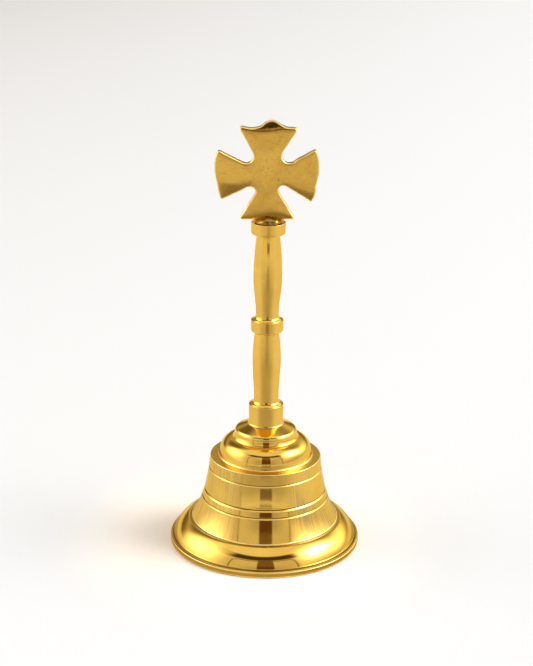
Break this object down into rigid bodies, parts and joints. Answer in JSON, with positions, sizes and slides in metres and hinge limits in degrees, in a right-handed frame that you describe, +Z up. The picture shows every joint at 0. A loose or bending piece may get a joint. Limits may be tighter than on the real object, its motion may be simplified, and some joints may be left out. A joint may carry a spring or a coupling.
{
  "type": "altar hand bell",
  "caption": "Small brass altar bell: turned flared cup, slender turned handle with collars, cross pattee on top, and a free-swinging clapper on a wire link.",
  "frame": {"origin": "middle of the mouth, on the plane that the rim stands on", "axes": "+Z up the handle to the cross; the cross faces -Y and its arms run along X"},
  "size_m": [0.07, 0.07, 0.1572],
  "materials": {
    "cup_brass": "polished and lacquered, waist brushed round",
    "handle_brass": "satin polished and lacquered",
    "cross_brass": "cast, hand polished, fine scratches",
    "ball_brass": "turned, slightly dull",
    "steel_hardware": "bright zinc plate, slightly dull"
  },
  "bodies": {
    "bell": {"bell_cup": "cup_brass", "crown_cap": "cup_brass", "base_ferrule": "handle_brass", "lower_grip": "handle_brass", "middle_collar": "handle_brass", "upper_grip": "handle_brass", "top_collar": "handle_brass", "cross": "cross_brass", "tie_rod": "steel_hardware", "crown_washer": "steel_hardware", "lock_nut": "steel_hardware"},
    "link": {"clapper_link": "steel_hardware"},
    "clapper": {"clapper_rod": "steel_hardware", "clapper_ball": "ball_brass"}
  },
  "joints": [
    {"name": "link_swing", "type": "hinge", "parent": "bell", "child": "link", "pos_m": [0, 0, 0.0285], "axis": [1, 0, 0], "range_deg": [-40, 40]},
    {"name": "clapper_swing", "type": "hinge", "parent": "link", "child": "clapper", "pos_m": [0, 0, 0.0249], "axis": [0, 1, 0], "range_deg": [-40, 40]}
  ]
}
